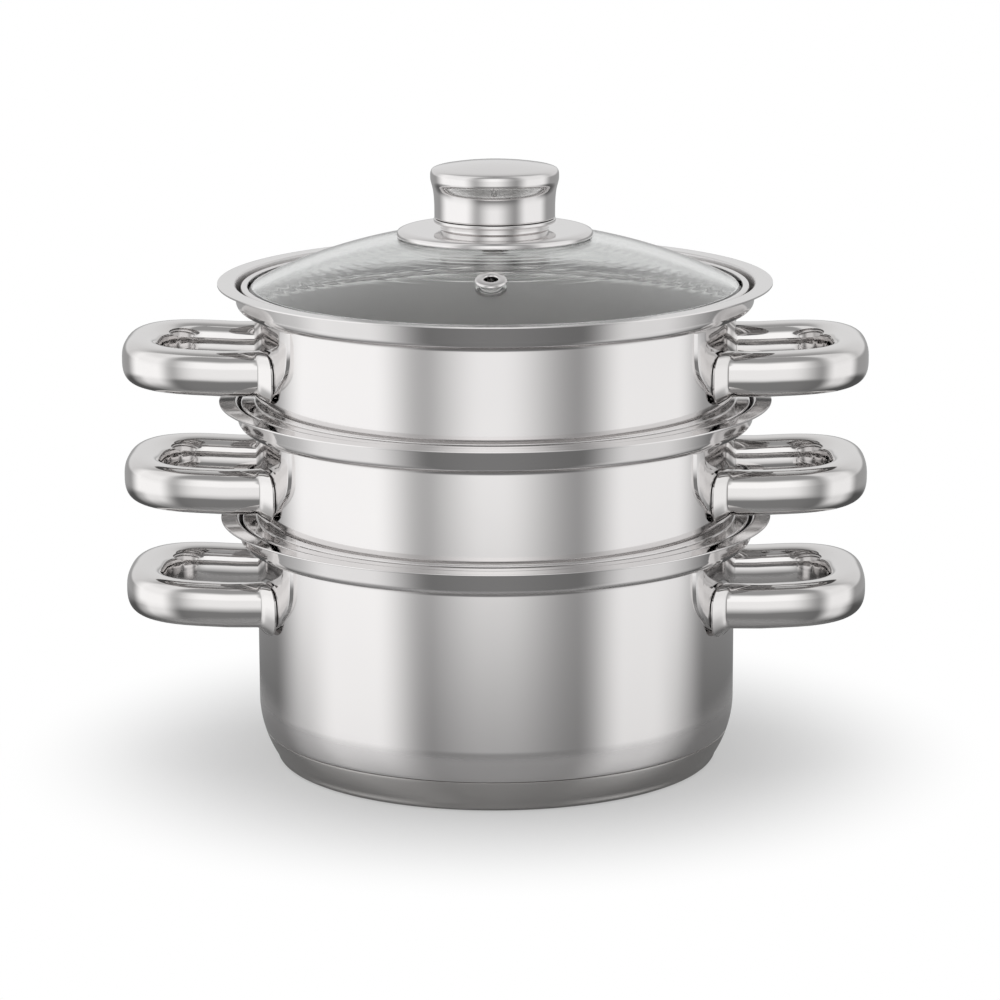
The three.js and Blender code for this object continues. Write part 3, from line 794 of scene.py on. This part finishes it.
def bracket_piece(name, drop):
    """A bracket at the right-hand side, with its middle at height zero."""
    top = drop - rim["band_depth"] - rim["wall_fillet"] - gap
    outline = bracket_outline(top)
    places = [(wall_radius / 2, across, up) for across, up in outline + outline[:1]]
    start_vertex(name, places[0])
    draw(places)
    bpy.ops.mesh.select_all(action="SELECT")
    bpy.ops.mesh.remove_doubles(threshold=mm / 1000)
    bpy.ops.mesh.edge_face_add()
    bpy.ops.mesh.extrude_region_move(TRANSFORM_OT_translate={"value": (wall_radius * mm, 0, 0)})
    bpy.ops.object.mode_set(mode="OBJECT")
    slab = bpy.context.object
    outward(slab)
    outer = wall_radius + gap + bracket_plate
    inner = wall_radius - gap
    low, high = -tool_depth / 2, tool_depth / 2
    wall_ring = spun("wall_ring", [(inner, low), (outer, low), (outer, high), (inner, high)], True)
    cut(slab, wall_ring, "INTERSECT")
    rounded(slab, bracket["edge"], 4)
    return slab


shoes = {name: bracket_piece(f"{name}_shoe", drop) for name, drop in handle["drop"].items()}
print("brackets", {name: len(shoe.data.polygons) for name, shoe in shoes.items()}, "faces")

# %% Brackets and handles in their places
for name, shoe in shoes.items():
    centre = lip_heights[name] - handle["drop"][name]
    for side, turn in (("right", 0), ("left", math.pi)):
        for kind, original, finish in (("bracket", shoe, mirror_steel), ("handle", loop, loop_steel)):
            copy = original.copy()
            copy.data = original.data.copy()
            scene.collection.objects.link(copy)
            copy.rotation_euler = (0, 0, turn)
            copy.location = (0, 0, centre * mm)
            node = f"{name}_{side}_{kind}"
            finished(copy, f"{node}_steel", name, finish, node)
for original in (*shoes.values(), loop):
    bpy.data.objects.remove(original)

# %% [markdown]
# ## The lid
#
# The lid is a shallow dome of tempered glass in a rolled steel ring, which sits in the top rim's pocket.
# Both are spun as closed sections, because glass needs its real thickness to bend the light and the ring
# is folded double.

# %% Lid glass
knob_facets = 128
ring_low, ring_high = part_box("lid_ring")
ring_outer = ring_high.x / mm
ring_top = ring_high.z / mm
ring_seat = ring_low.z / mm
glass_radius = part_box("lid_glass")[1].x / mm
glass_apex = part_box("knob_spacer")[0].z / mm - gap
glass_thickness = 4
dome_rise = 23
dome_steps = 30
edge_turn = 75
dome_radius = (glass_radius**2 + dome_rise**2) / (2 * dome_rise)
bolt_radius = 2.5
hole_clearance = 0.4
edge_share = 0.9


def glass_top(radius):
    """Height of the dome's outer face at a radius."""
    return glass_apex - dome_radius + math.sqrt(dome_radius**2 - radius**2)


glass_hole = bolt_radius + hole_clearance
radii = [glass_hole + (glass_radius - glass_hole) * i / dome_steps for i in range(dome_steps + 1)]
edge = glass_thickness / 2
open_radii = [r for r in radii if r < glass_radius - edge * edge_share]
under = [(r, glass_top(r) - glass_thickness) for r in open_radii]
over = [(r, glass_top(r)) for r in reversed(open_radii)]
middle = glass_top(glass_radius) - edge
rim_of_glass = arc(glass_radius - edge, middle, edge, -edge_turn, edge_turn, 8)
dome = spun("dome", [*under, *rim_of_glass, *over], True)
print("dome", len(dome.data.polygons), "faces")

# %% Vent hole in the glass
vent = {"inset": 30.4, "bore": 2.5, "shank": 3.9, "flange": 5.85, "plate": 1, "bead": 0.7}
vent_reach = glass_radius - vent["inset"]
vent_lean = math.asin(vent_reach / dome_radius)


def at_vent(piece):
    """Sets a piece on the vent's axis, square to the glass."""
    piece.rotation_euler = (vent_lean, 0, 0)
    piece.location = (0, -vent_reach * mm, glass_top(vent_reach) * mm)
    bpy.context.view_layer.update()


bpy.ops.object.select_all(action="DESELECT")
drill = {"radius": (vent["shank"] + hole_clearance) * mm, "depth": 3 * glass_thickness * mm}
bpy.ops.mesh.primitive_cylinder_add(vertices=facets_bore, **drill)
vent_drill = bpy.context.object
at_vent(vent_drill)
cut(dome, vent_drill)
finished(dome, "lid_dome", "lid", glass, "lid_glass")

# %% [markdown]
# ### The lid's ring and vent
#
# The ring is rolled from a strip: it folds over the glass, runs down as a wall, and turns in at a hemmed
# foot that carries the glass and stands on the rim's shoulder. The vent is lined with a steel rivet,
# clinched over the glass on both sides, which keeps the steam off the raw edge of the hole.

# %% Lid ring
ring = {"sheet": 0.8, "fold": 2.6, "corner": 0.7, "knee": 1.6, "foot": 5.1, "foot_height": 1.6}
ring.update({"foot_round": 0.5, "fold_round": 0.4})
foot_round, fold_round = ring["foot_round"], ring["fold_round"]
ring_wall = ring_outer - ring["sheet"]
fold = ring_outer - ring["fold"]
foot = ring_outer - ring["foot"]
foot_top = ring_seat + ring["foot_height"]
ring_line = [
    *arc(foot + foot_round, ring_seat + foot_round, foot_round, 180, 270, 4),
    *arc(ring_outer - ring["knee"], ring_seat + ring["knee"], ring["knee"], -90, 0, 8),
    *arc(ring_outer - ring["corner"], ring_top - ring["corner"], ring["corner"], 0, 90),
    *arc(fold + fold_round, ring_top - fold_round, fold_round, 90, 180, 4),
    (fold, glass_top(fold) + gap),
    (ring_wall, glass_top(fold) + gap),
    (ring_wall, foot_top),
    *arc(foot + foot_round, foot_top - foot_round, foot_round, 90, 180, 4),
]
rolled_ring = spun("rolled_ring", ring_line, True)
finished(rolled_ring, "lid_rolled_ring", "lid", mirror_steel, "lid_ring")

# %% Vent eyelet
flange_under = -glass_thickness - gap
# The flange's edge, as places in from its widest and up from its underside
flange_edge = [(0, 0.25), (0.5, 0.8), (1.7, vent["plate"])]
flange_knots = [(vent["flange"] - inwards, gap + up) for inwards, up in flange_edge]
bead_height = gap + vent["plate"] - vent["bead"]
eyelet_line = [
    (vent["bore"], flange_under - vent["plate"]),
    (vent["flange"] - gap, flange_under - vent["plate"]),
    (vent["flange"] - gap, flange_under),
    (vent["shank"], flange_under),
    (vent["shank"], gap),
    (vent["flange"], gap),
    *smooth_line(flange_knots, 4),
    *arc(vent["bore"] + vent["bead"], bead_height, vent["bead"], 90, 180, 5),
]
eyelet = spun("eyelet", eyelet_line, True, facets_small)
at_vent(eyelet)
finished(eyelet, "lid_vent_eyelet", "lid", knob_steel, "vent_eyelet")

# %% [markdown]
# ## The knob
#
# The knob is a pressed steel shell on a plastic core. It flares from a straight waist to a brim, and its
# top is a very shallow dome. It stands on a pressed dish, whose boss has a narrow foot and a wider
# flange. A screw from below holds it all, with a rubber washer against the glass.

# %% Knob shell
knob_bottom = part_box("knob_cap")[0].z / mm
knob_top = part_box("knob_cap")[1].z / mm
plate_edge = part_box("knob_base_plate")[0].z / mm
boss_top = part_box("knob_base_plate")[1].z / mm
knob = {"waist": 22.6, "brim": 24.1, "crown": 2.4, "crown_start": 21.9, "crown_lift": 0.25, "sheet": 0.8}
knob.update({"plate": 36.8, "plate_rim": 2.6, "boss_foot": 20, "boss": 22.9, "foot_height": 2.5})
knob_height = knob_top - knob_bottom
crown_edge = knob_top - knob["crown"]
crown_start = knob["crown_start"]
# The flare, as shares of the way out from the waist to the brim and of the height
flare_shares = [(0, 0), (0.02, 0.2), (0.07, 0.3), (0.17, 0.4), (0.33, 0.49), (0.58, 0.57)]
flare_shares += [(0.84, 0.64), (0.97, 0.69), (1, 0.74)]
# The brim's turn, as places in from the brim and up from the crown's edge
brim_turn = [(0.08, -1.6), (0.7, -0.35), (knob["brim"] - crown_start, knob["crown_lift"])]
crown_shares = (0.92, 0.8, 0.65, 0.5, 0.35, 0.2, 0.1, 0)
flared = [
    (knob["waist"] + (knob["brim"] - knob["waist"]) * out, knob_bottom + knob_height * up)
    for out, up in smooth_line(flare_shares, 4)
]
brim_knots = [(knob["brim"] - inwards, crown_edge + up) for inwards, up in brim_turn]
crown_rise = knob["crown"] - knob["crown_lift"]
knob_line = [
    *flared,
    *smooth_line([flared[-1], *brim_knots], 5)[1:],
    *[(crown_start * share, knob_top - crown_rise * share**2) for share in crown_shares],
]
cap = pressed("cap_shell", knob_line, knob["sheet"], knob_facets)
finished(cap, "knob_shell", "lid", knob_steel, "knob_cap")

# %% Knob dish
plate_top = plate_edge + knob["plate_rim"]
step_height = plate_top + knob["foot_height"]
# The dish's edge, as places in from its widest and up from its lowest
dish_edge = [(0, 1), (0.4, 1.8), (1.6, 2.4), (3.2, knob["plate_rim"])]
dish_knots = [(knob["plate"] - inwards, plate_edge + up) for inwards, up in dish_edge]
foot_round, step_round, boss_round = 0.6, 0.5, 0.4
plate_line = [
    (knob["plate"], plate_edge),
    *smooth_line(dish_knots, 5),
    *arc(knob["boss_foot"] + foot_round, plate_top + foot_round, foot_round, 270, 180, 4),
    *arc(knob["boss_foot"] + step_round, step_height - step_round, step_round, 180, 90, 4),
    *arc(knob["boss"] - boss_round, step_height + boss_round, boss_round, -90, 0, 4),
    *arc(knob["boss"] - boss_round, boss_top - boss_round, boss_round, 0, 90, 4),
    (bolt_radius + gap, boss_top),
]
dish = pressed("dish", plate_line, knob["sheet"], knob_facets)
finished(dish, "knob_dish", "lid", knob_steel, "knob_base_plate")

# %% Screw and washers
washer_round = 0.2


def washer(name, node, inner, material):
    """A flat ring that fills its node's box."""
    low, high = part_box(node)
    outer = high.x / mm
    section = [(inner, low.z / mm), (outer, low.z / mm), (outer, high.z / mm), (inner, high.z / mm)]
    piece = spun(name, section, True, facets_small)
    rounded(piece, washer_round)
    finished(piece, name, "lid", material, node)


washer("lid_rubber_washer", "knob_seal", bolt_radius + gap, silicone)
washer("lid_steel_washer", "knob_washer", bolt_radius + gap, turned_steel)
screw_low, screw_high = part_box("knob_screw")
head_low = screw_low.z / mm
tip = screw_high.z / mm
head = {"radius": 5, "height": 3, "round": 1.4, "recess": 0.3, "recess_radius": 2.2, "face": 2.4}
tip_chamfer = 0.6
screw_line = [
    (0, head_low + head["recess"]),
    (head["recess_radius"], head_low + head["recess"]),
    (head["face"], head_low),
    (head["radius"] - head["round"], head_low),
    *arc(head["radius"] - head["round"], head_low + head["round"], head["round"], -60, 0, 5),
    (head["radius"], head_low + head["height"]),
    (bolt_radius, head_low + head["height"]),
    (bolt_radius, tip - tip_chamfer),
    (bolt_radius - tip_chamfer, tip),
    (0, tip),
]
screw = spun("screw", screw_line, False, facets_bore)
finished(screw, "lid_screw", "lid", turned_steel, "knob_screw")

# %% [markdown]
# ## Pieces inside
#
# The heat disc, the knob's core, its brass nut and the rubber spacer lie hidden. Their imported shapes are
# right as they are, so they only get their materials.

# %% Inner pieces
inner_materials = {
    "pot_base_disc": aluminium,
    "knob_core": phenolic,
    "knob_threaded_insert": brass,
    "knob_spacer": silicone,
}
for node, material in inner_materials.items():
    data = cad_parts[node].data
    data.materials.clear()
    data.materials.append(material)
print("inner pieces dressed")

# %% [markdown]
# ## The studio
#
# A mirror shows its surroundings, so the studio is half of the picture. A bare lamp would show in the
# steel as a hard white spot, so steel is photographed in a tent of white cloth that is lit from outside.
# The set stands on a small pale floor in the middle of such a tent, before a white backdrop.

# %% Floor
floor_radius = 0.2
floor_height = -gap * mm / 3
bpy.ops.object.select_all(action="DESELECT")
disc = {"vertices": 96, "fill_type": "NGON", "radius": floor_radius}
bpy.ops.mesh.primitive_circle_add(location=(0, 0, floor_height), **disc)
floor = bpy.context.object
floor.name = "floor"
print("floor", 2 * floor_radius, "m across")

# %% [markdown]
# ### The floor's paint
#
# The floor has to end in white without an edge, and still keep the shadow of the set. Near the set the
# paint is plain and pale, and further out the camera sees more and more white. Polished steel shows the
# floor faintly close by. Further out it looks through to the dim cloth below, so that no edge of a disc
# shows in its undersides.

# %% Floor paint
# Matt white paint, rolled on: an even, pale surface that shows nothing but the shadow
floor_paint, floor_tree, floor_shader = new_material("pale_floor_paint", Roughness=0.9)
floor_shader.inputs["Base Color"].default_value = colour("#d8d8d8")
white = {"Color": colour("#ffffff"), "Strength": 1}
white_glow = add_node(floor_tree, "ShaderNodeEmission", white).outputs[0]
clear = add_node(floor_tree, "ShaderNodeBsdfTransparent").outputs[0]
floor_place = add_node(floor_tree, "ShaderNodeTexCoord").outputs["Object"]
measure = add_node(floor_tree, "ShaderNodeVectorMath", {0: floor_place}, operation="LENGTH")
floor_reach = measure.outputs["Value"]
floor_rays = add_node(floor_tree, "ShaderNodeLightPath").outputs
white_part = {"From Min": 0.09, "From Max": 0.19, "To Min": 0.35, "To Max": 1}
clear_part = {"From Min": 0.125, "From Max": 0.18, "To Min": 0.6, "To Max": 1}
surface = floor_shader.outputs[0]
for ray, part, over in (("Is Camera Ray", white_part, white_glow), ("Is Glossy Ray", clear_part, clear)):
    fade = {"Value": floor_reach, **part}
    faded = add_node(floor_tree, "ShaderNodeMapRange", fade, interpolation_type="SMOOTHSTEP").outputs[0]
    share = add_node(floor_tree, "ShaderNodeMath", {0: floor_rays[ray], 1: faded}, operation="MULTIPLY")
    mix = {0: share.outputs[0], 1: surface, 2: over}
    surface = add_node(floor_tree, "ShaderNodeMixShader", mix).outputs[0]
floor_tree.links.new(surface, floor_tree.nodes["Material Output"].inputs["Surface"])
floor.data.materials.append(floor_paint)
print("floor painted")

# %% [markdown]
# ### The backdrop
#
# The world is the backdrop. Where the camera, a mirror or the glass looks at it, it is plain white, and
# where it only gives light, it is a little dimmer, so that the steel keeps its greys.

# %% Backdrop
backdrop_light = 0.7
world = bpy.data.worlds.new("white_backdrop")
world.use_nodes = True
scene.world = world
world_tree = world.node_tree
backdrop = world_tree.nodes["Background"]
backdrop.inputs["Color"].default_value = colour("#ffffff")
world_rays = add_node(world_tree, "ShaderNodeLightPath").outputs
seen = world_rays["Is Camera Ray"]
for ray in ("Is Glossy Ray", "Is Transmission Ray"):
    either = {0: seen, 1: world_rays[ray]}
    seen = add_node(world_tree, "ShaderNodeMath", either, operation="MAXIMUM").outputs[0]
shown = {"Value": seen, "To Min": backdrop_light, "To Max": 1}
backdrop_strength = add_node(world_tree, "ShaderNodeMapRange", shown).outputs[0]
world_tree.links.new(backdrop_strength, backdrop.inputs["Strength"])
print("backdrop gives", backdrop_light, "of its white as light")

# %% [markdown]
# ### The light tent
#
# Lamps behind the cloth make soft bright places on it: one to the left, one to the right, one in front
# and a faint one at the back. Between them the cloth is dimmer, and these dim places draw the soft grey
# lines down the steel. Low down the cloth is dim all round, which gives the bands and the undersides
# their grey. The cloth isn't seen by the camera, only in the steel. Its heights and its radius are in
# metres.

# %% Light tent
tent_radius = 3
bpy.ops.object.select_all(action="DESELECT")
bpy.ops.mesh.primitive_uv_sphere_add(segments=64, ring_count=32, radius=tent_radius, location=(0, 0, 0))
tent = bpy.context.object
tent.name = "light_tent"
tent.visible_camera = False
tent.visible_transmission = False
print("tent", 2 * tent_radius, "m across")

# %% Lamps behind the cloth
# Angles are in degrees round the axis, from the front, and a glow fades between inner and outer. Each
# change with height has the heights where it starts and ends, and the values before and after.
unlit_cloth = (-0.98, -0.5, 0.18, 0.39)
side_top = (0.1, 0.7, 1, 0.7)
tent_lamps = {
    "left": {"azimuth": -79, "inner": 21, "outer": 52, "strength": 0.82},
    "right": {"azimuth": 80, "inner": 15, "outer": 41, "strength": 0.69},
    "front": {"azimuth": 0, "inner": 3, "outer": 41, "strength": 0.69},
    "back": {"azimuth": 180, "inner": 40, "outer": 90, "strength": 0.3},
}
lamp_heights = {
    "left": ((-2.6, -1.0, 0.15, 1), side_top),
    "right": ((-2.8, -1.3, 0, 1), side_top),
    "front": ((-0.93, -0.42, 0.08, 1), (1.6, 2.4, 1, 0)),
    "back": ((0.1, 0.5, 0, 1), (2, 3, 1, 0)),
}
# Behind the set the cloth loses light low down, and above the lid it is a little brighter
dim_back = {"near": 80, "far": 105, "loss": 0.45, "heights": (-0.85, -0.5, 1, 0)}
crown_heights = ((0.2, 0.6, 1, 1.15), (1.5, 2.5, 1, 0.85))
print("lamps:", ", ".join(tent_lamps))

# %% Tent cloth
# Thin white cotton, lit from behind: an even glow, because its weave is too fine to see in a reflection
cloth = bpy.data.materials.new("lit_tent_cloth")
cloth.use_nodes = True
cloth_tree = cloth.node_tree
cloth_tree.nodes.clear()
cloth_place = add_node(cloth_tree, "ShaderNodeTexCoord").outputs["Object"]
height = add_node(cloth_tree, "ShaderNodeSeparateXYZ", {0: cloth_place}).outputs["Z"]
level = {0: cloth_place, 1: (1, 1, 0)}
flat = add_node(cloth_tree, "ShaderNodeVectorMath", level, operation="MULTIPLY").outputs[0]
facing = add_node(cloth_tree, "ShaderNodeVectorMath", {0: flat}, operation="NORMALIZE").outputs[0]
soft = {"interpolation_type": "SMOOTHSTEP"}


def change(value, start, end, before, after):
    """What a Map Range node takes to change from one value to another."""
    return {"Value": value, "From Min": start, "From Max": end, "To Min": before, "To Max": after}


def glow_round(azimuth, inner, outer, before, after):
    """A glow that changes with the angle round the axis from an azimuth, all in degrees."""
    middle = math.radians(azimuth)
    towards = {0: facing, 1: (math.sin(middle), -math.cos(middle), 0)}
    near = add_node(cloth_tree, "ShaderNodeVectorMath", towards, operation="DOT_PRODUCT").outputs["Value"]
    angle = add_node(cloth_tree, "ShaderNodeMath", {0: near}, operation="ARCCOSINE").outputs[0]
    fall = change(angle, math.radians(inner), math.radians(outer), before, after)
    return add_node(cloth_tree, "ShaderNodeMapRange", fall, **soft).outputs[0]


def dimmed(light, *heights):
    """A light, changed with height."""
    for step in heights:
        part = add_node(cloth_tree, "ShaderNodeMapRange", change(height, *step), **soft).outputs[0]
        light = add_node(cloth_tree, "ShaderNodeMath", {0: light, 1: part}, operation="MULTIPLY").outputs[0]
    return light


print("cloth starts with", len(cloth_tree.nodes), "nodes")

# %% Light on the cloth
total = add_node(cloth_tree, "ShaderNodeMapRange", change(height, *unlit_cloth), **soft).outputs[0]
for name, lamp in tent_lamps.items():
    glow = glow_round(lamp["azimuth"], lamp["inner"], lamp["outer"], lamp["strength"], 0)
    lit = dimmed(glow, *lamp_heights[name])
    total = add_node(cloth_tree, "ShaderNodeMath", {0: total, 1: lit}, operation="ADD").outputs[0]
behind = glow_round(0, dim_back["near"], dim_back["far"], 0, dim_back["loss"])
loss = dimmed(behind, dim_back["heights"])
kept = add_node(cloth_tree, "ShaderNodeMath", {0: 1, 1: loss}, operation="SUBTRACT").outputs[0]
strength = add_node(cloth_tree, "ShaderNodeMath", {0: total, 1: kept}, operation="MULTIPLY").outputs[0]
strength = dimmed(strength, *crown_heights)
cloth_light = {"Color": colour("#ffffff"), "Strength": strength}
cloth_glow = add_node(cloth_tree, "ShaderNodeEmission", cloth_light).outputs[0]
add_node(cloth_tree, "ShaderNodeOutputMaterial", {"Surface": cloth_glow})
tent.data.materials.append(cloth)
print("cloth has", len(cloth_tree.nodes), "nodes")

# %% [markdown]
# ### The softbox overhead
#
# The tent lights the steel. A weak round softbox above the set gives the floor its soft shadow, and it is
# left out of the steel, where its disc would show.

# %% Overhead softbox
softbox = bpy.data.objects.new("overhead_softbox", bpy.data.lights.new("overhead_softbox", "AREA"))
softbox.data.shape = "DISK"
softbox.data.size = 0.9
softbox.data.energy = 4
softbox.location = (0, 0, 1.6)
softbox.visible_camera = False
softbox.visible_glossy = False
scene.collection.objects.link(softbox)
print("softbox", softbox.data.energy, "W")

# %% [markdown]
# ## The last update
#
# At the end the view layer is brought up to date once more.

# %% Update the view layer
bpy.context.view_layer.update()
